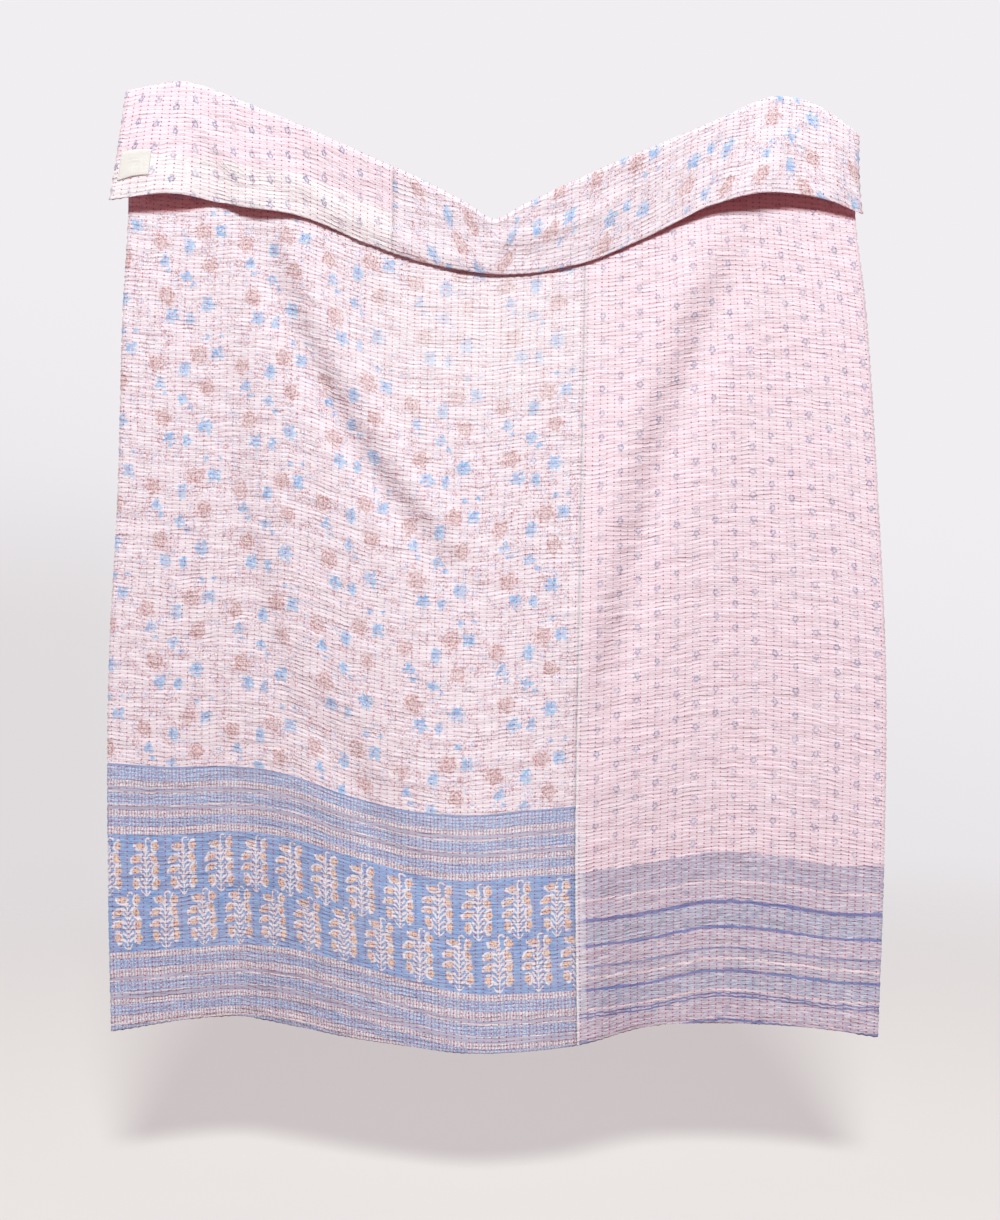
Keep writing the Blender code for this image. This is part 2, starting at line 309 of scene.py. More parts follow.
def pucker(u, v, stitch, side, height):
    """How far the outer face stands out: puffs between stitches, with a valley at each stitch."""
    puff = np.abs(np.sin(np.pi * stitch)) - 0.35
    strength = 1.0 + 0.6 * soft_noise(u, v, 0.045, 0.060, 21 + side)
    ridge = soft_noise(u, v, 0.050, 0.0075, 31 + side)
    crumple = 0.6 * soft_noise(u, v, 0.016, 0.012, 41 + side)
    crumple += 0.5 * soft_noise(u, v, 0.060, 0.035, 51 + side)
    return height * (puff * strength + 0.5 * ridge + 0.6 * crumple)


def hang(cloth, settings):
    """The outer and inner faces of a cloth as grids of points, with the flat places that its patterns use."""
    columns = cloth.lines * COLUMNS_TO_A_LINE
    across = np.linspace(cloth.start, cloth.end, columns + 1)[None, :]
    # Sample the hanging curve of each column finely, from the flap's loose edge to the hem.
    flap = flap_points(*np.broadcast_arrays(across, np.linspace(1, 0, FLAP_SAMPLES)[:, None]))
    turn = turn_points(*np.broadcast_arrays(across, np.linspace(0, 1, TURN_SAMPLES)[1:-1, None]))
    line = np.concatenate([np.linspace(0, 1, FRONT_SAMPLES)[:-1], np.linspace(1, 4, FRONT_SAMPLES // 2)])
    front = front_points(*np.broadcast_arrays(across, line[:, None]))
    curve = np.concatenate([flap, turn, front])
    curve[..., 2] -= LAYER_THICKNESS + LAYER_GAP / 2
    run = np.linalg.norm(np.diff(curve, axis=0), axis=-1)
    run = np.concatenate([np.zeros((1, columns + 1)), np.cumsum(run, axis=0)])
    # The print's height above the hem on the flat cloth is set by the border's lines, and is true length above.
    first = FLAP_SAMPLES + TURN_SAMPLES - 2
    at_line_a = first + FRONT_SAMPLES - 1
    border = np.interp(line, (1, 2, 3), (PRINT_LINE_A, PRINT_LINE_B, PRINT_LINE_C))
    print_height = PRINT_LINE_A + run[at_line_a] - run
    print_height[first:] = np.where(line[:, None] >= 1, border[:, None], print_height[first:])
    at_line_c = first + np.searchsorted(line, 3)
    print_height[at_line_c:] = PRINT_LINE_C + run[at_line_c] - run[at_line_c:]
    # How far a place of the front lies below the flap's loose edge. The flap itself is all open.
    open_by = section_value("flap", across) - curve[..., 2]
    open_by[:first] = 1.0
    # Rows of stitches keep their pitch on the flap and lie level on the open front.
    # Behind the flap they close up.
    level = FLAT_LENGTH - PRINT_LINE_A - (run[at_line_a] - run)
    border_run = (run[at_line_a:] - run[at_line_a]) / (run[-1] - run[at_line_a])
    level[at_line_a:] = FLAT_LENGTH - PRINT_LINE_A * (1 - border_run)
    # Place the rows of points by stitches, which drift a little.
    u = section_value("cut", across)
    v = np.linspace(0, FLAT_LENGTH, ROWS + 1)[:, None] * np.ones((1, columns + 1))
    v = v - stitch_drift(u, v) * STITCH
    middle = np.empty((ROWS + 1, columns + 1, 3))
    heights = np.empty((ROWS + 1, columns + 1))
    opened = np.empty((ROWS + 1, columns + 1))
    pitch = np.empty((ROWS + 1, columns + 1))
    for column in range(columns + 1):
        runs = run[:, column]
        covered = first + np.argmax(open_by[first:, column] > -FLAP_COVER)
        flap_run = runs[FLAP_SAMPLES - 1]
        levels = np.concatenate([[0.0, flap_run], level[covered:, column]])
        along = np.interp(v[:, column], levels, np.concatenate([[0.0, flap_run], runs[covered:]]))
        for axis in range(3):
            middle[:, column, axis] = np.interp(along, runs, curve[:, column, axis])
        heights[:, column] = np.interp(along, runs, print_height[:, column])
        opened[:, column] = np.interp(along, runs, open_by[:, column])
        pitch[:, column] = np.gradient(along) * ROWS / FLAT_LENGTH
    out = np.cross(np.gradient(middle, axis=1), np.gradient(middle, axis=0))
    out /= np.linalg.norm(out, axis=-1, keepdims=True)
    stitch = np.linspace(0, STITCHES_ALONG, ROWS + 1)[:, None]
    line_number = np.linspace(0, cloth.lines, columns + 1)[None, :]
    raised = pucker(u, v, stitch, cloth.side, settings.pucker_height) * np.clip(pitch, 0.0, 1.0) ** 1.5
    at_line = 0.5 + 0.5 * np.cos(2 * np.pi * line_number)
    # The valleys stay clear of the cloth's inner face.
    raised = np.maximum(raised - settings.pucker_height * 0.15 * at_line, 0.0003 - LAYER_THICKNESS)
    # The edges are turned in, thinner than the middle, and scalloped by their stitches.
    width = section_value("cut", 1.0)
    from_edge = np.minimum.reduce(np.broadcast_arrays(u, width - u, v, FLAT_LENGTH - v))
    full = 0.5 + 0.5 * ease(from_edge / EDGE_BAND)
    outer = middle + out * cloth.side * (LAYER_GAP / 2 + LAYER_THICKNESS * full + raised * full)[..., None]
    scallop = settings.edge_scallop * np.cos(2 * np.pi * stitch / 2 + 3 * soft_noise(u, v, 0.5, 0.05, 51))
    outer[..., 0] += scallop * (ease(1 - u / EDGE_BAND) - ease(1 - (width - u) / EDGE_BAND)) * 0.8
    hem_scallop = settings.edge_scallop * (at_line - 0.5 + 0.7 * soft_noise(u, v, 0.028, 0.5, 52))
    outer[..., 2] += hem_scallop * (ease(1 - (FLAT_LENGTH - v) / HEM_BAND) + ease(1 - v / HEM_BAND))
    inner = middle + out * cloth.side * (LAYER_GAP / 2)
    for grid in (outer, inner):
        if cloth.start > 0:
            grid[:, 0, 0] += SEAM_GAP / 2
        if cloth.end < 1:
            grid[:, -1, 0] -= SEAM_GAP / 2
    # How far below the flap's edge its painted shadow reaches: further where the flap stands off more.
    shaded = SHADE_REACH * (section_value("stand_off", across) - 2 * LAYER_THICKNESS)
    maps = {
        "print": np.stack(np.broadcast_arrays(u, heights), -1),
        "stitch": np.stack(np.broadcast_arrays(line_number, stitch), -1),
        "edge": np.stack(np.broadcast_arrays(u, v), -1),
        "flap_shade_and_pitch": np.stack([opened - shaded if cloth.side < 0 else np.ones_like(opened), pitch], -1),
    }
    return outer, inner, out, maps


def inner_steps(last, step, fine_last=0, fine_step=1):
    """Grid numbers kept on a hidden inner face, from 0 to last."""
    fine = list(range(0, fine_last, fine_step))
    rest = list(range(fine_last, last, step))
    return fine + rest + [last]


def closed_faces(shape, rows, columns):
    """Faces of a closed sheet: a fine outer grid, a coarse inner grid and a rim between them."""
    tall, wide = shape
    outer = np.arange(tall * wide).reshape(tall, wide)
    inner = tall * wide + np.arange(len(rows) * len(columns)).reshape(len(rows), len(columns))

    def cells(grid):
        return np.stack([grid[:-1, :-1], grid[1:, :-1], grid[1:, 1:], grid[:-1, 1:]], -1).reshape(-1, 4)

    faces = cells(outer).tolist() + cells(inner)[:, ::-1].tolist()
    rims = (
        (outer[0, :], inner[0, :], columns, False),
        (outer[-1, :], inner[-1, :], columns, True),
        (outer[:, 0], inner[:, 0], rows, True),
        (outer[:, -1], inner[:, -1], rows, False),
    )
    for fine, coarse, kept, turned in rims:
        for place, (low, high) in enumerate(pairwise(kept)):
            face = fine[low : high + 1].tolist() + [int(coarse[place + 1]), int(coarse[place])]
            faces.append(face[::-1] if turned else face)
    return faces


def mesh_object(name, points, faces, material, maps=None, rims=0):
    """A new object at the origin from points and faces, with a flat map for each pattern.

    The last faces are its rims, which stay crisp.
    """
    mesh = bpy.data.meshes.new(name)
    mesh.from_pydata(points, [], faces)
    if maps:
        corners = np.empty(len(mesh.loops), np.int32)
        mesh.loops.foreach_get("vertex_index", corners)
        for map_name, places in maps.items():
            layer = mesh.uv_layers.new(name=map_name, do_init=False)
            layer.uv.foreach_set("vector", places[corners].astype(np.float32).ravel())
    mesh.shade_smooth()
    if rims:
        mesh.polygons.foreach_set("use_smooth", np.arange(len(faces)) < len(faces) - rims)
    mesh.materials.append(material)
    made = bpy.data.objects.new(name, mesh)
    bpy.context.scene.collection.objects.link(made)
    return made


def make_cloth(cloth, settings, material):
    """One printed cloth of one layer as a thin closed sheet."""
    outer, inner, _, maps = hang(cloth, settings)
    rows = inner_steps(ROWS, INNER_FLAT_STEP, INNER_TURN_ROWS, INNER_TURN_STEP)
    columns = inner_steps(outer.shape[1] - 1, INNER_COLUMN_STEP)
    kept = np.ix_(rows, columns)
    points = np.concatenate([outer.reshape(-1, 3), inner[kept].reshape(-1, 3)])
    faces = closed_faces(outer.shape[:2], rows, columns)
    if cloth.side < 0:
        faces = [face[::-1] for face in faces]
    flat = {name: np.concatenate([m.reshape(-1, 2), m[kept].reshape(-1, 2)]) for name, m in maps.items()}
    rims = 2 * (len(rows) + len(columns) - 2)
    made = mesh_object(cloth.name, points, faces, material, flat, rims)
    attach(made, "root")
    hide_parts(cloth.node)
    return made


def make_stitches(cloth, settings, material):
    """The running stitches that show on one cloth, each a small spindle lying in its valley."""
    outer, _, out, maps = hang(cloth, settings)
    out = out * cloth.side
    rows = np.arange(1, STITCHES_ALONG) * ROWS_TO_A_STITCH
    columns = np.arange(COLUMNS_TO_A_LINE // 2, cloth.lines * COLUMNS_TO_A_LINE, COLUMNS_TO_A_LINE)
    at = np.ix_(rows, columns)
    up = outer[np.ix_(rows - 1, columns)]
    down = outer[np.ix_(rows + 1, columns)]
    middle = outer[at]
    normal = out[at]
    along = down - up
    across = np.cross(along, normal)
    across /= np.linalg.norm(across, axis=-1, keepdims=True)
    place = maps["edge"][at]
    size = 1 + 0.5 * soft_noise(place[..., 0], place[..., 1], 0.0145, 0.009, 71)[..., None]
    shown = settings.stitch_length / 2 / np.linalg.norm(along, axis=-1, keepdims=True)
    reach = size * np.minimum(shown, LONGEST_STITCH)
    half = across * size * settings.thread_width / 2
    points = np.stack(
        [
            middle - along * reach,
            middle + along * reach,
            middle - half + normal * 0.0001,
            middle + half + normal * 0.0001,
            middle + normal * settings.thread_width * 0.7,
        ],
        axis=-2,
    )
    shape = np.array(((0, 2, 4), (0, 4, 3), (0, 3, 2), (1, 4, 2), (1, 3, 4), (1, 2, 3)))
    count = points.shape[0] * points.shape[1]
    faces = (np.arange(count)[:, None, None] * 5 + shape[None]).reshape(-1, 3)
    name = cloth.name.replace("cloth", "stitches")
    made = mesh_object(name, points.reshape(-1, 3), faces.tolist(), material)
    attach(made, "root")
    return made


class Wires:
    """Adds nodes to a tree and joins them, so that a pattern reads as a formula."""

    def __init__(self, tree):
        self.tree = tree

    def node(self, kind, **settings):
        made = self.tree.nodes.new(kind)
        for name, value in settings.items():
            setattr(made, name, value)
        return made

    def feed(self, socket, value):
        if isinstance(value, bpy.types.NodeSocket):
            self.tree.links.new(value, socket)
        elif value is not None:
            socket.default_value = value

    def math(self, operation, *values, clamp=False):
        made = self.node("ShaderNodeMath", operation=operation, use_clamp=clamp)
        for socket, value in zip(made.inputs, values):
            self.feed(socket, value)
        return made.outputs[0]

    def vector(self, operation, *values):
        made = self.node("ShaderNodeVectorMath", operation=operation)
        for socket, value in zip(made.inputs, values):
            self.feed(socket, value)
        return made.outputs["Value" if operation == "LENGTH" else "Vector"]

    def split(self, vector):
        made = self.node("ShaderNodeSeparateXYZ")
        self.feed(made.inputs[0], vector)
        return made.outputs[0], made.outputs[1]

    def join(self, x, y):
        made = self.node("ShaderNodeCombineXYZ")
        self.feed(made.inputs[0], x)
        self.feed(made.inputs[1], y)
        return made.outputs[0]

    def fall(self, value, edge, soft):
        """1 where the value is under the edge, 0 above it, with a soft step."""
        made = self.node("ShaderNodeMapRange", interpolation_type="SMOOTHSTEP")
        self.feed(made.inputs["Value"], value)
        for name, number in (
            ("From Min", edge - soft / 2),
            ("From Max", edge + soft / 2),
            ("To Min", 1.0),
            ("To Max", 0.0),
        ):
            made.inputs[name].default_value = number
        return made.outputs["Result"]

    def within(self, value, low, high, soft):
        """1 where the value lies between low and high."""
        return self.math("SUBTRACT", self.fall(value, high, soft), self.fall(value, low, soft), clamp=True)

    def mix(self, share, low, high):
        made = self.node("ShaderNodeMix", data_type="RGBA")
        self.feed(made.inputs["Factor"], share)
        self.feed(made.inputs[6], low if isinstance(low, bpy.types.NodeSocket) else (*low, 1.0))
        self.feed(made.inputs[7], high if isinstance(high, bpy.types.NodeSocket) else (*high, 1.0))
        return made.outputs[2]

    def noise(self, place, scale, detail=2.0, rough=0.5):
        made = self.node("ShaderNodeTexNoise", noise_dimensions="2D")
        self.feed(made.inputs["Vector"], place)
        made.inputs["Scale"].default_value = scale
        made.inputs["Detail"].default_value = detail
        made.inputs["Roughness"].default_value = rough
        return made.outputs["Fac"]

    def sway(self, place, scale, reach, detail=2.0):
        """The place moved a little this way and that, as a hand-printed block wanders."""
        made = self.node("ShaderNodeTexNoise", noise_dimensions="2D")
        self.feed(made.inputs["Vector"], place)
        made.inputs["Scale"].default_value = scale
        made.inputs["Detail"].default_value = detail
        back = (-reach / 2, -reach / 2, 0.0)
        shift = self.vector("MULTIPLY_ADD", made.outputs["Color"], (reach, reach, 0.0), back)
        return self.vector("ADD", place, shift)

    def map(self, name):
        return self.node("ShaderNodeUVMap", uv_map=name).outputs[0]

    def group(self, tree, **values):
        made = self.node("ShaderNodeGroup", node_tree=tree)
        for name, value in values.items():
            self.feed(made.inputs[name.replace("_", " ")], value)
        return made.outputs


def effect(name, inputs, outputs):
    """A new node group with named sockets, and its wires, its inputs and a way to set its outputs."""
    tree = bpy.data.node_groups.new(name, "ShaderNodeTree")
    for socket, kind in inputs.items():
        tree.interface.new_socket(socket, in_out="INPUT", socket_type=f"NodeSocket{kind}")
    for socket, kind in outputs.items():
        tree.interface.new_socket(socket, in_out="OUTPUT", socket_type=f"NodeSocket{kind}")
    wires = Wires(tree)
    entry = wires.node("NodeGroupInput")
    leave = wires.node("NodeGroupOutput")
    return tree, wires, entry.outputs, leave.inputs


# The floral repeat, charted: each motif's place, size, petals and turn on the flat cloth
FLORAL_REPEAT = (0.180, 0.240)
Motif = namedtuple("Motif", "x y radius petals turn")
BLUE_FLOWERS = (
    Motif(0.000, 0.000, 0.0178, 6, 0.3),
    Motif(-0.072, -0.026, 0.0165, 5, 0.9),
    Motif(-0.036, -0.029, 0.0125, 2, 3.1),
    Motif(0.003, -0.063, 0.0070, 3, 0.0),
    Motif(0.031, -0.060, 0.0055, 2, 0.6),
    Motif(0.021, -0.096, 0.0160, 4, 3.1),
    Motif(-0.044, -0.128, 0.0160, 2, 3.3),
    Motif(-0.095, -0.159, 0.0128, 3, 1.6),
    Motif(-0.086, -0.178, 0.0065, 2, 0.0),
    Motif(-0.047, -0.187, 0.0135, 4, 0.8),
    Motif(-0.031, -0.203, 0.0070, 3, 0.5),
)
ROSES = (
    Motif(-0.086, 0.014, 0.0225, 5, 0.0),
    Motif(-0.016, -0.098, 0.0215, 6, 1.1),
    Motif(0.001, -0.163, 0.0200, 5, 0.4),
    Motif(-0.105, -0.122, 0.0205, 5, 2.0),
)


def motif_mask(wires, place, repeat, motif, soft=0.0026, lobes=0.11):
    """The mask of one motif with its petals, its rings about the centre, and its upper left side."""
    half = (repeat[0] / 2, repeat[1] / 2, 1.0)
    offset = wires.vector("SUBTRACT", place, (motif.x, motif.y, 0.0))
    local = wires.vector("WRAP", offset, half, tuple(-h for h in half))
    distance = wires.vector("LENGTH", local)
    x, y = wires.split(local)
    angle = wires.math("ARCTAN2", y, x)
    petals = wires.math("COSINE", wires.math("MULTIPLY_ADD", angle, float(motif.petals), motif.turn))
    inward = wires.math("MULTIPLY_ADD", petals, -lobes * motif.radius, distance)
    mask = wires.fall(inward, 0.80 * motif.radius, soft)
    return mask, distance, petals, wires.math("SUBTRACT", y, x)


def floral_effect():
    """Small blue flowers, dusty roses and scattered sprays in a block-printed repeat."""
    tree, w, inputs, outputs = effect(
        "Floral print",
        {"Place": "Vector"},
        {"Blue": "Float", "Blue Shade": "Float", "Rose": "Float", "Rose Lines": "Float", "Spray": "Float"},
    )
    place = w.sway(inputs["Place"], 120.0, 0.014)
    blue = dark = rose = lines = 0.0
    for motif in BLUE_FLOWERS:
        mask, distance, petals, lean = motif_mask(w, place, FLORAL_REPEAT, motif, 0.0022, 0.17)
        side = w.within(lean, 0.1 * motif.radius, 0.7 * motif.radius, 0.6 * motif.radius)
        eye = w.fall(distance, 0.25 * motif.radius, 0.3 * motif.radius)
        blue = w.math("MAXIMUM", blue, mask)
        dark = w.math("MAXIMUM", dark, w.math("MULTIPLY", mask, w.math("MAXIMUM", side, eye)))
    for motif in ROSES:
        mask, distance, petals, _ = motif_mask(w, place, FLORAL_REPEAT, motif, 0.004, 0.12)
        ring = w.math("MULTIPLY_ADD", petals, 1.6, w.math("MULTIPLY", distance, FULL_TURN / 0.0072))
        ring = w.within(w.math("SINE", ring), 0.3, 2.0, 0.8)
        rose = w.math("MAXIMUM", rose, mask)
        lines = w.math("MAXIMUM", lines, w.math("MULTIPLY", mask, ring))
    # Sprays are clusters of small marks.
    marks = w.fall(w.noise(place, 300.0, 2.0), 0.43, 0.10)
    clusters = w.fall(w.noise(w.vector("ADD", place, (3.1, 1.7, 0.0)), 34.0, 2.0), 0.50, 0.12)
    streaks = w.noise(w.vector("MULTIPLY", place, (1.0, 1.8, 1.0)), 170.0, 2.0)
    streaks = w.math("MULTIPLY_ADD", streaks, 4.5, -1.35, clamp=True)
    blue = w.math("MULTIPLY", blue, streaks)
    for socket, value in zip(outputs, (blue, dark, rose, lines, w.math("MULTIPLY", marks, clusters))):
        w.feed(socket, value)
    return tree


SPRIG_REPEAT = (0.0765, 0.0478)
SPRIGS = (Motif(0.0, 0.0, 0.0076, 5, 1.57), Motif(SPRIG_REPEAT[0] / 2, SPRIG_REPEAT[1] / 2, 0.0076, 5, 1.57))


def sprig_effect():
    """Small ringed sprigs in a half-drop lattice."""
    tree, w, inputs, outputs = effect(
        "Sprig print", {"Place": "Vector"}, {"Sprig": "Float", "Leaf": "Float"}
    )
    place = w.sway(inputs["Place"], 90.0, 0.005, 1.0)
    sprig = leaf = 0.0
    for motif in SPRIGS:
        mask, distance, _, _ = motif_mask(w, place, SPRIG_REPEAT, motif, 0.0016)
        hollow = w.math("MULTIPLY", w.fall(distance, 0.42 * motif.radius, 0.35 * motif.radius), 0.8)
        sprig = w.math("MAXIMUM", sprig, w.math("SUBTRACT", mask, hollow, clamp=True))
        low = motif._replace(y=motif.y - 0.0085, radius=0.0045, petals=2, turn=0.0)
        leaf = w.math("MAXIMUM", leaf, motif_mask(w, place, SPRIG_REPEAT, low, 0.0016)[0])
    worn = w.within(w.noise(place, 160.0, 2.0), 0.34, 1.0, 0.22)
    faded = w.math("MULTIPLY_ADD", w.noise(place, 14.0, 2.0), 3.0, -0.7, clamp=True)
    worn = w.math("MULTIPLY", worn, w.math("MAXIMUM", faded, 0.45))
    w.feed(outputs["Sprig"], w.math("MULTIPLY", sprig, worn))
    w.feed(outputs["Leaf"], w.math("MULTIPLY", leaf, worn))
    return tree


# The flowering plant of the blue border, charted in metres from its middle
PLANT_PITCH = 0.0765
PLANT_ROW_DROP = 0.107
PLANT_FROM_TOP = 0.066
Blossom = namedtuple("Blossom", "x y width height turn")
BLOSSOMS = (
    Blossom(0.0205, 0.0420, 0.0082, 0.0108, -0.15),
    Blossom(0.0185, 0.0180, 0.0080, 0.0106, 0.35),
    Blossom(0.0215, -0.0065, 0.0080, 0.0108, -0.25),
    Blossom(0.0225, -0.0320, 0.0082, 0.0112, -0.10),
    Blossom(-0.0105, 0.0430, 0.0084, 0.0108, 1.45),
    Blossom(-0.0190, 0.0155, 0.0080, 0.0112, -1.05),
    Blossom(-0.0195, -0.0070, 0.0078, 0.0108, -1.15),
    Blossom(-0.0210, -0.0320, 0.0080, 0.0108, 3.35),
)


def plant_effect():
    """Two staggered rows of small flowering plants, each with a leafy stem, a foot and eight blossoms."""
    tree, w, inputs, outputs = effect(
        "Flowering plant rows", {"Place": "Vector"}, {"Cream": "Float", "Blossom": "Float"}
    )
    x_all, y_all = w.split(w.sway(inputs["Place"], 45.0, 0.006))
    # The two rows interlock, so the line between them waves from foot to foot.
    wave = w.math("COSINE", w.math("MULTIPLY", x_all, FULL_TURN / PLANT_PITCH))
    between_rows = PRINT_LINE_B - PLANT_FROM_TOP - PLANT_ROW_DROP / 2
    low = w.math("LESS_THAN", w.math("MULTIPLY_ADD", wave, 0.012, y_all), between_rows)
    x = w.math("MULTIPLY_ADD", low, -PLANT_PITCH / 2, x_all)
    x = w.math("WRAP", x, PLANT_PITCH / 2, -PLANT_PITCH / 2)
    y = w.math("MULTIPLY_ADD", low, PLANT_ROW_DROP, w.math("SUBTRACT", y_all, PRINT_LINE_B - PLANT_FROM_TOP))
    side = w.math("ABSOLUTE", x)
    place = w.join(x, y)
    ragged = w.math("MULTIPLY_ADD", w.noise(inputs["Place"], 150.0, 1.0), 0.5, -0.25)
    blossom = crescents = 0.0
    for one in BLOSSOMS:
        turned = w.node("ShaderNodeMapping", vector_type="TEXTURE")
        w.feed(turned.inputs["Vector"], place)
        turned.inputs["Location"].default_value = (one.x, one.y, 0.0)
        turned.inputs["Rotation"].default_value = (0.0, 0.0, one.turn)
        turned.inputs["Scale"].default_value = (one.width, one.height, 1.0)
        distance = w.math("ADD", w.vector("LENGTH", turned.outputs[0]), ragged)
        blossom = w.math("MAXIMUM", blossom, w.fall(distance, 0.72, 0.20))
        open_side = w.fall(w.split(turned.outputs[0])[0], 0.30, 0.40)
        crescent = w.math("MULTIPLY", w.within(distance, 0.82, 1.30, 0.14), open_side)
        crescents = w.math("MAXIMUM", crescents, crescent)
    stem = w.math("MULTIPLY", w.fall(side, 0.0015, 0.0010), w.within(y, -0.054, 0.055, 0.003))
    # Leaves rise from the stem like a feather, wider low down.
    rise = w.math("MULTIPLY_ADD", w.math("POWER", side, 0.6), -0.235, y)
    rise = w.math("MULTIPLY_ADD", ragged, 0.010, rise)
    rise = w.math("ABSOLUTE", w.math("WRAP", rise, 0.0062, -0.0062))
    reach = w.math("MULTIPLY_ADD", ragged, 0.016, w.math("MULTIPLY_ADD", y, -0.040, 0.0112))
    leaves = w.fall(w.math("SUBTRACT", side, reach), 0.0, 0.002)
    leaves = w.math("MULTIPLY", w.fall(rise, 0.0030, 0.0016), leaves)
    leaves = w.math("MULTIPLY", leaves, w.within(y, -0.042, 0.034, 0.004))
    foot = w.math("MULTIPLY_ADD", w.math("POWER", side, 1.5), -11.0, w.math("ADD", y, 0.0560))
    foot = w.fall(w.math("ABSOLUTE", foot), 0.0019, 0.0012)
    foot = w.math("MULTIPLY", foot, w.fall(side, 0.0098, 0.0015))
    curl = w.vector("LENGTH", w.vector("SUBTRACT", place, (0.0050, 0.0535, 0.0)))
    open_curl = w.fall(w.math("SUBTRACT", 0.0535, y), 0.0, 0.001)
    curl = w.math("MULTIPLY", w.within(curl, 0.0034, 0.0066, 0.0012), open_curl)
    cream = w.math("MAXIMUM", w.math("MAXIMUM", stem, leaves), w.math("MAXIMUM", foot, curl))
    cream = w.math("MULTIPLY", cream, w.math("SUBTRACT", 1.0, blossom))
    w.feed(outputs["Cream"], w.math("MAXIMUM", cream, crescents))
    w.feed(outputs["Blossom"], blossom)
    return tree


def stitch_effect():
    """Valleys along the lines of stitches and across them, and the weave, for bump and for painted valley shade
    in the colour.
    """
    tree, w, inputs, outputs = effect(
        "Stitched cotton",
        {"Stitch": "Vector", "Place": "Vector", "Fullness": "Float"},
        {"Height": "Float", "Valley Shade": "Float", "Line": "Float", "Spot": "Float"},
    )
    x, y = w.split(inputs["Stitch"])
    place = inputs["Place"]
    uneven = w.math("MULTIPLY_ADD", w.noise(place, 32.0, 2.0), 0.5, -0.25)
    ridge = w.math("ABSOLUTE", w.math("SINE", w.math("MULTIPLY", w.math("ADD", y, uneven), 3.14159)))
    fullness = w.math("MULTIPLY_ADD", w.noise(place, 26.0, 2.0), 2.2, -0.55, clamp=True)
    crease = w.math("MULTIPLY", w.math("POWER", ridge, 0.9), fullness)
    from_line = w.math("ABSOLUTE", w.math("SUBTRACT", w.math("FRACT", x), 0.5))
    line = w.math("MULTIPLY", from_line, 2.0)
    crumple = w.noise(w.vector("MULTIPLY", place, (1.0, 2.4, 1.0)), 120.0, 3.0, 0.6)
    across, up = w.split(w.vector("SINE", w.vector("MULTIPLY", place, (9000.0, 9000.0, 0.0))))
    height = w.math("MULTIPLY_ADD", crease, 0.0016, w.math("MULTIPLY", line, 0.0003))
    height = w.math("MULTIPLY_ADD", crumple, 0.0012, height)
    height = w.math("MULTIPLY", height, inputs["Fullness"])
    height = w.math("MULTIPLY_ADD", w.math("MULTIPLY", across, up), 0.00002, height)
    w.feed(outputs["Height"], height)
    # Painted shade: the valleys between the puckers at each row of stitches, patchy across the cloth.
    strength = w.math("MULTIPLY_ADD", w.noise(place, 38.0, 2.0), 2.6, -0.75, clamp=True)
    valley_shade = w.math("POWER", w.math("SUBTRACT", 1.0, ridge), 2.0)
    w.feed(outputs["Valley Shade"], w.math("MULTIPLY", valley_shade, strength))
    beside = w.fall(from_line, 0.08, 0.10)
    w.feed(outputs["Line"], beside)
    from_stitch = w.math("SUBTRACT", w.math("FRACT", w.math("ADD", y, 0.5)), 0.5)
    near = w.fall(w.math("ABSOLUTE", from_stitch), 0.17, 0.12)
    w.feed(outputs["Spot"], w.math("MULTIPLY", beside, near))
    return tree


# Printed stripes above and below the blue band, each list from its top line down:
# width in metres, kind, ground and mark
Stripe = namedtuple("Stripe", "width kind ground mark")
MIST = (184, 186, 210)
LILAC = (184, 182, 204)
SKY = (138, 168, 214)
PEACH = (244, 234, 234)
CREAM = (248, 236, 232)
FROST = (224, 224, 238)
UPPER_STRIPES = (
    Stripe(0.004, "plain", (140, 166, 210), MIST),
    Stripe(0.028, "rings", SKY, FROST),
    Stripe(0.013, "dashes", LILAC, PEACH),
    Stripe(0.010, "plain", MIST, MIST),
    Stripe(0.003, "line", MIST, CREAM),
    Stripe(0.023, "rings", SKY, FROST),
    Stripe(0.003, "line", MIST, CREAM),
    Stripe(0.009, "plain", MIST, MIST),
    Stripe(0.013, "dashes", LILAC, PEACH),
    Stripe(0.021, "rings", SKY, FROST),
    Stripe(0.016, "dashes", LILAC, PEACH),
)
LOWER_STRIPES = (
    Stripe(0.012, "dashes", LILAC, PEACH),
    Stripe(0.021, "rings", SKY, FROST),
    Stripe(0.015, "dashes", LILAC, PEACH),
    Stripe(0.007, "plain", MIST, MIST),
    Stripe(0.003, "line", MIST, CREAM),
    Stripe(0.021, "rings", SKY, FROST),
    Stripe(0.002, "line", MIST, CREAM),
    Stripe(0.011, "plain", MIST, MIST),
    Stripe(0.011, "dashes", LILAC, PEACH),
    Stripe(0.021, "rings", SKY, FROST),
    Stripe(0.016, "dashes", LILAC, PEACH),
    Stripe(0.003, "line", MIST, CREAM),
    Stripe(0.060, "rings", SKY, FROST),
)

# The cell of the small printed rings
RING_CELL = (0.0070, 0.0066, 1.0)

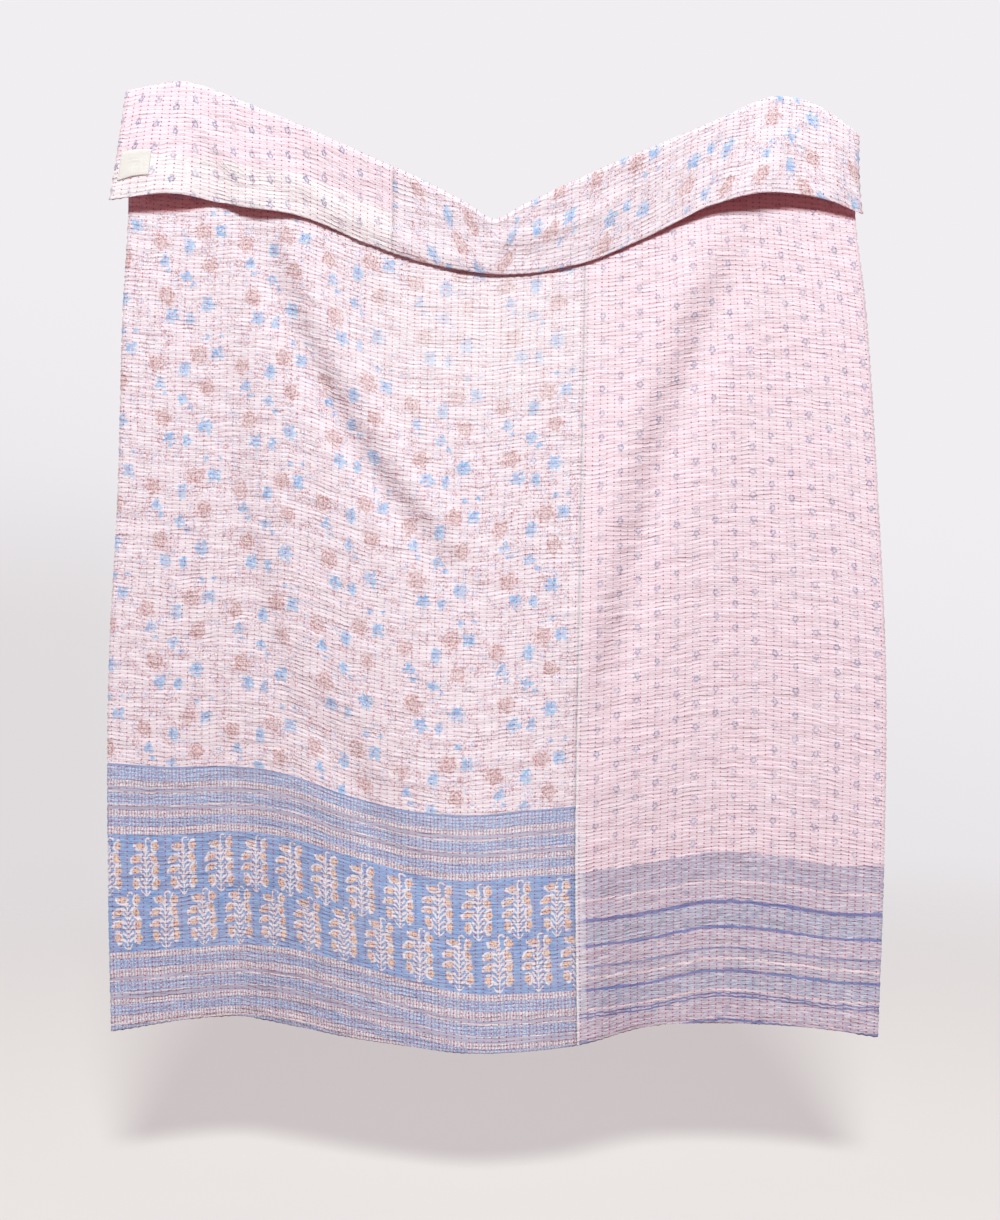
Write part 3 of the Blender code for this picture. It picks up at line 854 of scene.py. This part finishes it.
# Woven stripes at the foot of the sprig cloth, from their top line down:
# start and width in metres, and colour
Band = namedtuple("Band", "start width colour")
MAUVE = (200, 198, 216)
HEATHER = (214, 204, 220)
SLATE = (178, 190, 214)
WIDE_BANDS = (
    Band(0.000, 0.360, MAUVE),
    Band(0.000, 0.054, (190, 188, 210)),
    Band(0.061, 0.032, HEATHER),
    Band(0.102, 0.042, SLATE),
    Band(0.151, 0.037, HEATHER),
    Band(0.192, 0.017, MAUVE),
    Band(0.239, 0.032, SLATE),
    Band(0.290, 0.042, HEATHER),
)
FINE_BANDS = (
    Band(0.055, 0.0045, (250, 232, 238)),
    Band(0.094, 0.0075, (108, 130, 192)),
    Band(0.145, 0.0060, (110, 134, 194)),
    Band(0.188, 0.0040, (142, 154, 198)),
    Band(0.209, 0.0045, (250, 236, 240)),
    Band(0.232, 0.0060, (110, 134, 194)),
    Band(0.271, 0.0035, (250, 232, 238)),
    Band(0.279, 0.0028, (96, 118, 180)),
    Band(0.285, 0.0030, (96, 118, 180)),
    Band(0.332, 0.0045, (106, 130, 190)),
)


def cotton(name):
    """A plain matt cotton material with its wires, its shader and the flat maps."""
    material = bpy.data.materials.new(name)
    material.use_nodes = True
    wires = Wires(material.node_tree)
    shader = material.node_tree.nodes["Principled BSDF"]
    shader.inputs["Metallic"].default_value = 0.0
    shader.inputs["Specular IOR Level"].default_value = 0.25
    shader.inputs["Sheen Weight"].default_value = 0.15
    shader.inputs["Sheen Roughness"].default_value = 0.5
    return material, wires, shader


def stitched_finish(w, shader, effects, colour, settings, thread_and_shade_pink):
    """Joins a printed colour to the shader, with wear, painted light in the upper middle, painted shade in the
    valleys and under the flap's edge, thread colour and bump.
    """
    place = w.map("print")
    open_by, pitch = w.split(w.map("flap_shade_and_pitch"))
    fullness = w.math("MULTIPLY_ADD", pitch, 1.4, -0.3, clamp=True)
    surface = w.group(effects["stitch"], Stitch=w.map("stitch"), Place=place, Fullness=fullness)
    worn = w.math("MULTIPLY_ADD", w.noise(place, 9.0, 4.0, 0.6), 0.30, -0.06, clamp=True)
    # The cloth is palest in the upper middle: partly painted light where the top light falls brightest, partly
    # fading.
    from_middle = w.vector("MULTIPLY_ADD", place, (1.0, 1.4, 0.0), (-0.74, -2.03, 0.0))
    from_middle = w.vector("LENGTH", from_middle)
    worn = w.math("MULTIPLY_ADD", w.fall(from_middle, 0.20, 0.30), 0.48, worn)
    colour = w.mix(worn, colour, shade(252, 246, 249))
    # A faint pink beside each line of stitches: partly the thread's colour, partly painted shade in the groove.
    colour = w.mix(w.math("MULTIPLY", surface["Line"], 0.04), colour, thread_and_shade_pink)
    # Painted shade: the valleys between the puckers are darkened to pink.
    colour = w.mix(w.math("MULTIPLY", surface["Valley Shade"], 0.55), colour, thread_and_shade_pink)
    bold = w.math("MULTIPLY_ADD", w.fall(w.split(place)[1], 0.45, 0.16), 0.50, 0.35)
    colour = w.mix(w.math("MULTIPLY", surface["Spot"], bold), colour, tuple(settings.thread_colour))
    # Painted shadow: under the flap's loose edge, down to where the flap's shadow ends, the cloth is painted a
    # dark rose for the shade that falls there.
    covered = w.math("MULTIPLY", w.fall(open_by, 0.001, 0.010), 0.60)
    colour = w.mix(covered, colour, shade(238, 130, 130))
    w.feed(shader.inputs["Base Color"], colour)
    rough = w.math("MULTIPLY_ADD", w.noise(place, 300.0, 2.0), 0.12, 0.82)
    w.feed(shader.inputs["Roughness"], rough)
    bump = w.node("ShaderNodeBump")
    bump.inputs["Strength"].default_value = 1.0
    bump.inputs["Distance"].default_value = 1.0
    w.feed(bump.inputs["Height"], surface["Height"])
    w.feed(shader.inputs["Normal"], bump.outputs["Normal"])


def floral_colour(w, effects, settings):
    """The floral ground with its printed flowers."""
    place = w.map("print")
    prints = w.group(effects["floral"], Place=place)
    fade = w.math("MULTIPLY_ADD", w.noise(place, 22.0, 2.0), 0.8, 0.55, clamp=True)
    bluish = w.fall(w.noise(place, 60.0, 1.0), 0.56, 0.06)
    spray = w.mix(bluish, shade(160, 178, 220), shade(186, 120, 130))
    colour = w.mix(w.math("MULTIPLY", prints["Spray"], 0.75), tuple(settings.floral_ground), spray)
    rose = w.mix(prints["Rose Lines"], shade(240, 218, 220), shade(188, 132, 126))
    colour = w.mix(w.math("MULTIPLY", prints["Rose"], w.math("MULTIPLY", fade, 0.85)), colour, rose)
    blue = w.mix(prints["Blue Shade"], shade(170, 212, 248), shade(128, 182, 236))
    return w.mix(w.math("MULTIPLY", prints["Blue"], fade), colour, blue)


def sprig_colour(w, effects, ground, strength):
    """The sprigs over their ground."""
    place = w.map("print")
    prints = w.group(effects["sprig"], Place=place)
    leaf = w.math("MULTIPLY", prints["Leaf"], 0.55 * strength)
    colour = w.mix(leaf, ground, shade(168, 162, 188))
    return w.mix(w.math("MULTIPLY", prints["Sprig"], strength), colour, shade(138, 148, 186))


def border_colour(w, effects):
    """The blue border: fine stripes above and below a band of flowering plants."""
    place = w.map("print")
    height = w.split(place)[1]
    swayed = w.vector("ADD", w.sway(place, 180.0, 0.007), (0.0035, 0.0035, 0.0))
    cell = w.vector("WRAP", swayed, tuple(s / 2 for s in RING_CELL), tuple(-s / 2 for s in RING_CELL))
    rings = w.within(w.vector("LENGTH", cell), 0.0010, 0.0025, 0.0008)
    dashes = w.math("SINE", w.math("MULTIPLY", w.split(swayed)[0], FULL_TURN / 0.0060))
    dashes = w.within(dashes, 0.1, 2.0, 0.6)
    broken = w.fall(w.noise(place, 220.0, 1.0), 0.58, 0.12)
    marks = {"dashes": dashes, "rings": rings, "line": broken, "plain": 0.0}
    colour = shade(*MIST)
    for top, stripes in ((PRINT_LINE_A, UPPER_STRIPES), (PRINT_LINE_C, LOWER_STRIPES)):
        for stripe in stripes:
            share = marks[stripe.kind]
            here = shade(*stripe.ground)
            if share:
                here = w.mix(share, here, shade(*stripe.mark))
            colour = w.mix(w.within(height, top - stripe.width, top, 0.0012), colour, here)
            top -= stripe.width
    plants = w.group(effects["plants"], Place=place)
    ripple = w.noise(w.vector("MULTIPLY", place, (1.0, 5.0, 1.0)), 60.0, 2.0)
    ripple = w.mix(w.fall(ripple, 0.46, 0.2), shade(150, 186, 232), shade(124, 162, 216))
    band = w.mix(plants["Cream"], ripple, shade(246, 238, 240))
    petal = w.fall(w.noise(place, 260.0, 1.0), 0.42, 0.1)
    petal = w.mix(petal, shade(246, 216, 192), shade(204, 156, 142))
    band = w.mix(plants["Blossom"], band, petal)
    return w.mix(w.within(height, PRINT_LINE_C, PRINT_LINE_B, 0.0012), colour, band)


def front_floral_material(effects, settings):
    material, w, shader = cotton("floral cotton front")
    height = w.split(w.map("print"))[1]
    ground = floral_colour(w, effects, settings)
    colour = w.mix(w.fall(height, PRINT_LINE_A, 0.002), ground, border_colour(w, effects))
    stitched_finish(w, shader, effects, colour, settings, shade(204, 136, 156))
    return material


def front_sprig_material(effects, settings):
    material, w, shader = cotton("sprig cotton front")
    place = w.map("print")
    x, height = w.split(place)
    colour = sprig_colour(w, effects, tuple(settings.sprig_ground), 0.75)
    wobble = w.math("MULTIPLY_ADD", w.noise(place, 55.0, 2.0), 0.0070, -0.0035)
    depth = w.math("ADD", w.math("SUBTRACT", PRINT_LINE_B, height), wobble)
    streak = w.noise(w.vector("MULTIPLY", place, (1.0, 9.0, 1.0)), 60.0, 3.0, 0.7)
    striped = w.fall(height, PRINT_LINE_B, 0.002)
    light = w.math("MULTIPLY", w.math("MULTIPLY", w.fall(streak, 0.48, 0.10), striped), 0.60)
    dark = w.math("MULTIPLY", w.within(streak, 0.55, 1.0, 0.08), striped)
    dark = w.math("MULTIPLY", dark, 0.55)
    for bands in (WIDE_BANDS, FINE_BANDS):
        for band in bands:
            share = w.within(depth, band.start, band.start + band.width, 0.0014)
            colour = w.mix(share, colour, shade(*band.colour))
        if bands is WIDE_BANDS:
            colour = w.mix(dark, w.mix(light, colour, shade(240, 230, 240)), shade(134, 144, 182))
    # A pale selvedge runs along the seam, wider low down.
    seam = float(section_value("cut", FRONT_SEAM))
    wide = w.math("MULTIPLY_ADD", height, -0.008, 0.020)
    patchy = w.math("MULTIPLY_ADD", w.noise(place, 55.0, 3.0), 0.016, -0.008)
    selvedge = w.math("SUBTRACT", w.math("SUBTRACT", x, seam), w.math("ADD", wide, patchy))
    selvedge = w.fall(selvedge, 0.0, 0.008)
    pale = w.math("MULTIPLY_ADD", w.within(height, 0.12, PRINT_LINE_A, 0.10), 0.40, 0.15)
    colour = w.mix(w.math("MULTIPLY", selvedge, pale), colour, shade(244, 244, 252))
    edging = w.fall(w.math("SUBTRACT", x, seam), 0.0036, 0.0012)
    colour = w.mix(w.math("MULTIPLY", edging, 0.85), colour, shade(253, 251, 253))
    stitched_finish(w, shader, effects, colour, settings, shade(222, 160, 180))
    return material


def back_sprig_material(effects, settings):
    material, w, shader = cotton("sprig cotton back")
    pale = w.fall(w.split(w.map("edge"))[1], PALE_END, 0.002)
    ground = w.mix(w.math("MULTIPLY", pale, 0.8), tuple(settings.sprig_ground), shade(252, 249, 250))
    colour = sprig_colour(w, effects, ground, 0.95)
    stitched_finish(w, shader, effects, colour, settings, shade(222, 160, 180))
    return material


def back_floral_material(effects, settings):
    material, w, shader = cotton("floral cotton back")
    stitched_finish(w, shader, effects, floral_colour(w, effects, settings), settings, shade(212, 156, 176))
    return material


def thread_material(settings):
    material, w, shader = cotton("crimson pink thread")
    place = w.node("ShaderNodeTexCoord").outputs["Object"]
    colour = w.mix(w.noise(place, 40.0, 3.0), tuple(settings.thread_colour), shade(206, 110, 150))
    w.feed(shader.inputs["Base Color"], colour)
    w.feed(shader.inputs["Roughness"], w.math("MULTIPLY_ADD", w.noise(place, 900.0), 0.2, 0.6))
    return material


def label_material():
    material, w, shader = cotton("label cotton")
    place = w.map("print")
    x, y = w.split(place)
    warp = w.math("SINE", w.math("MULTIPLY", x, FULL_TURN / 0.0009))
    weft = w.math("SINE", w.math("MULTIPLY", y, FULL_TURN / 0.0009))
    weave = w.math("MULTIPLY", warp, weft)
    tone = w.math("MULTIPLY_ADD", weave, 0.2, w.noise(place, 60.0, 3.0))
    w.feed(shader.inputs["Base Color"], w.mix(tone, shade(246, 243, 235), shade(253, 251, 246)))
    w.feed(shader.inputs["Roughness"], w.math("MULTIPLY_ADD", w.noise(place, 500.0), 0.15, 0.75))
    bump = w.node("ShaderNodeBump")
    bump.inputs["Strength"].default_value = 0.5
    bump.inputs["Distance"].default_value = 0.0004
    w.feed(bump.inputs["Height"], weave)
    w.feed(shader.inputs["Normal"], bump.outputs["Normal"])
    return material


def make_label(settings, material):
    """The small blank cotton label near the flap's left corner."""
    cloth = next(c for c in CLOTHS if c.name == "back_sprig_cloth")
    outer, _, out, maps = hang(cloth, settings)
    places = maps["edge"]
    columns, rows = LABEL_CELLS
    u = LABEL_LEFT + np.linspace(0, LABEL_WIDTH, columns + 1)[None, :] + np.zeros((rows + 1, 1))
    v = LABEL_FROM_EDGE + np.linspace(0, LABEL_HEIGHT, rows + 1)[:, None] + np.zeros((1, columns + 1))
    column = np.interp(u, places[0, :, 0], np.arange(places.shape[1]))
    row = v / FLAT_LENGTH * ROWS
    # The label spans the puckers, so it follows the cloth's middle and not its stitches.
    stitch = maps["stitch"][..., 1]
    raised = pucker(places[..., 0], places[..., 1], stitch, 1, settings.pucker_height)
    smooth = outer - out * raised[..., None]
    c0 = np.floor(column).astype(int)
    r0 = np.floor(row).astype(int)
    fc = (column - c0)[..., None]
    fr = (row - r0)[..., None]

    def between(grid):
        top = grid[r0, c0] * (1 - fc) + grid[r0, c0 + 1] * fc
        low = grid[r0 + 1, c0] * (1 - fc) + grid[r0 + 1, c0 + 1] * fc
        return top * (1 - fr) + low * fr

    edge = np.minimum.reduce([u - u.min(), u.max() - u, v - v.min(), v.max() - v])
    lift = LABEL_LIFT + 0.0006 * soft_noise(u, v, 0.02, 0.015, 61) + 0.0006 * ease(edge / 0.006)
    points = between(smooth) + between(out) * lift[..., None]
    count = (rows + 1) * (columns + 1)
    grid = np.arange(count).reshape(rows + 1, columns + 1)
    faces = np.stack([grid[:-1, :-1], grid[1:, :-1], grid[1:, 1:], grid[:-1, 1:]], -1).reshape(-1, 4)
    flat = {"print": np.stack([u, v], -1).reshape(-1, 2)}
    made = mesh_object("cotton_label", points.reshape(-1, 3), faces.tolist(), material, flat)
    shell = made.modifiers.new("thickness", "SOLIDIFY")
    shell.thickness = LABEL_THICKNESS
    shell.offset = 1.0
    bpy.context.view_layer.objects.active = made
    bpy.ops.object.select_all(action="DESELECT")
    made.select_set(True)
    bpy.ops.object.modifier_apply(modifier=shell.name)
    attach(made, "root")
    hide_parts("label")
    return made


class QuiltSettings(bpy.types.PropertyGroup):
    """Sizes and colours of the quilt."""

    pucker_height: bpy.props.FloatProperty(
        name="Pucker height",
        description="How far the cloth puffs between stitches",
        default=0.0018,
        unit="LENGTH",
    )
    edge_scallop: bpy.props.FloatProperty(
        name="Edge scallop",
        description="How far the stitches wave the loose edges",
        default=0.0014,
        unit="LENGTH",
    )
    stitch_length: bpy.props.FloatProperty(
        name="Stitch length",
        description="Thread that shows in each stitch",
        default=0.0036,
        unit="LENGTH",
    )
    thread_width: bpy.props.FloatProperty(
        name="Thread width",
        description="Width of the stitching thread",
        default=0.0024,
        unit="LENGTH",
    )
    floral_ground: bpy.props.FloatVectorProperty(
        name="Floral ground",
        description="Ground of the floral cotton",
        subtype="COLOR",
        default=shade(250, 239, 246),
    )
    sprig_ground: bpy.props.FloatVectorProperty(
        name="Sprig ground",
        description="Ground of the sprig cotton",
        subtype="COLOR",
        default=shade(252, 233, 242),
    )
    thread_colour: bpy.props.FloatVectorProperty(
        name="Thread",
        description="Colour of the stitching thread",
        subtype="COLOR",
        default=shade(176, 52, 100),
    )


def quilt_effects():
    """The shared pattern groups, made once."""
    makers = {
        "floral": floral_effect,
        "sprig": sprig_effect,
        "plants": plant_effect,
        "stitch": stitch_effect,
    }
    return {key: make() for key, make in makers.items()}


class QUILT_OT_cloths(bpy.types.Operator):
    """Make the four printed cloths of the front and back with their stitches"""

    bl_idname = "quilt.cloths"
    bl_label = "Make the printed cloths"

    def execute(self, context):
        settings = context.scene.quilt
        effects = quilt_effects()
        finishes = {
            "front_floral_cloth": front_floral_material,
            "front_sprig_cloth": front_sprig_material,
            "back_sprig_cloth": back_sprig_material,
            "back_floral_cloth": back_floral_material,
        }
        thread = thread_material(settings)
        for cloth in CLOTHS:
            made = make_cloth(cloth, settings, finishes[cloth.name](effects, settings))
            stitches = make_stitches(cloth, settings, thread)
            width = float(section_value("cut", cloth.end) - section_value("cut", cloth.start))
        return {"FINISHED"}


class QUILT_OT_label(bpy.types.Operator):
    """Make the small blank cotton label"""

    bl_idname = "quilt.label"
    bl_label = "Make the label"

    def execute(self, context):
        settings = context.scene.quilt
        make_label(settings, label_material())
        return {"FINISHED"}


class QUILT_OT_stage(bpy.types.Operator):
    """Make the pale floor, the soft lights and the camera"""

    bl_idname = "quilt.stage"
    bl_label = "Make the setting"

    def execute(self, context):
        bpy.ops.mesh.primitive_circle_add(vertices=128, radius=6.0, fill_type="NGON", location=(0, 0, 0))
        floor = context.active_object
        floor.name = "floor"
        floor.data.transform(floor.matrix_world)
        for vertex in floor.data.vertices:
            vertex.co.z = -FLOOR_DROP
        material = bpy.data.materials.new("pale floor")
        material.use_nodes = True
        w = Wires(material.node_tree)
        shader = material.node_tree.nodes["Principled BSDF"]
        # The floor's pale tone and glow are for the picture alone, so it hardly lights the cloth from below.
        seen = w.node("ShaderNodeLightPath").outputs["Is Camera Ray"]
        w.feed(shader.inputs["Base Color"], w.mix(seen, shade(120, 62, 62), shade(176, 171, 168)))
        shader.inputs["Roughness"].default_value = 0.7
        shader.inputs["Emission Color"].default_value = (*shade(214, 211, 210), 1.0)
        w.feed(shader.inputs["Emission Strength"], w.math("MULTIPLY", seen, 0.50))
        place = w.node("ShaderNodeTexCoord").outputs["Object"]
        away = w.vector("LENGTH", w.join(*w.split(place)))
        w.feed(shader.inputs["Alpha"], w.fall(away, 3.4, 3.6))
        floor.data.materials.append(material)

        # The surround is bright behind the quilt and dimmer in front, where the key light takes over.
        world = bpy.data.worlds.new("pale surround")
        world.use_nodes = True
        w = Wires(world.node_tree)
        toward = w.node("ShaderNodeTexCoord").outputs["Generated"]
        parts = w.node("ShaderNodeSeparateXYZ")
        w.feed(parts.inputs[0], toward)
        across, ahead, up = parts.outputs
        dim = w.fall(ahead, 0.1, 0.9)
        low = w.fall(w.math("MULTIPLY_ADD", across, 0.25, up), 0.0, 0.30)
        far = w.mix(low, shade(241, 238, 242), shade(231, 228, 231))
        # Low on the left, beside the quilt, the surround is a little darker: a painted soft shadow on the
        # backdrop.
        level = w.math("ABSOLUTE", w.math("ADD", up, 0.08))
        beside = w.math("MULTIPLY", w.fall(across, -0.20, 0.10), w.fall(level, 0.12, 0.12))
        far = w.mix(w.math("MULTIPLY", beside, 0.5), far, shade(216, 211, 212))
        background = world.node_tree.nodes["Background"]
        lighting = w.mix(dim, far, shade(118, 80, 84))
        seen = w.node("ShaderNodeLightPath").outputs["Is Camera Ray"]
        w.feed(background.inputs["Color"], w.mix(seen, lighting, far))
        context.scene.world = world
        Lamp = namedtuple("Lamp", "name place size power")
        lamps = (
            Lamp("soft key", (0.4, -7.2, 5.5), 2.2, 960.0),
            Lamp("soft fill", (-3.4, -4.4, -0.6), 3.0, 20.0),
        )
        for lamp in lamps:
            light = bpy.data.lights.new(lamp.name, "AREA")
            light.shape = "DISK"
            light.size = lamp.size
            light.energy = lamp.power
            light.color = (0.91, 1.0, 0.99)
            holder = bpy.data.objects.new(lamp.name, light)
            context.scene.collection.objects.link(holder)
            holder.location = lamp.place
            aim = LAMP_AIM - Vector(lamp.place)
            holder.rotation_euler = aim.to_track_quat("-Z", "Y").to_euler()
        camera = bpy.data.cameras.new("photo view")
        camera.sensor_width = SENSOR
        camera.lens = SENSOR * CAMERA_DISTANCE / PICTURE_HEIGHT
        holder = bpy.data.objects.new("photo view", camera)
        context.scene.collection.objects.link(holder)
        holder.location = (CAMERA_X, -CAMERA_DISTANCE, CAMERA_Z)
        holder.rotation_euler = (np.pi / 2, 0, 0)
        context.scene.camera = holder
        context.scene.view_settings.view_transform = "Standard"
        return {"FINISHED"}


class QUILT_PT_panel(bpy.types.Panel):
    """Lists the quilt's settings and its makers"""

    bl_idname = "QUILT_PT_panel"
    bl_label = "Kantha quilt"
    bl_space_type = "VIEW_3D"
    bl_region_type = "UI"
    bl_category = "Quilt"

    def draw(self, context):
        for name in QuiltSettings.__annotations__:
            self.layout.prop(context.scene.quilt, name)
        for maker in MAKERS:
            self.layout.operator(maker.bl_idname)


MAKERS = (QUILT_OT_stage, QUILT_OT_cloths, QUILT_OT_label)
CLASSES = (QuiltSettings, *MAKERS, QUILT_PT_panel)


def register():
    for cls in CLASSES:
        bpy.utils.register_class(cls)
    bpy.types.Scene.quilt = bpy.props.PointerProperty(type=QuiltSettings)


def unregister():
    del bpy.types.Scene.quilt
    for cls in reversed(CLASSES):
        bpy.utils.unregister_class(cls)


def main():
    register()
    bpy.ops.quilt.stage()
    bpy.ops.quilt.cloths()
    bpy.ops.quilt.label()


if __name__ == "__main__":
    main()
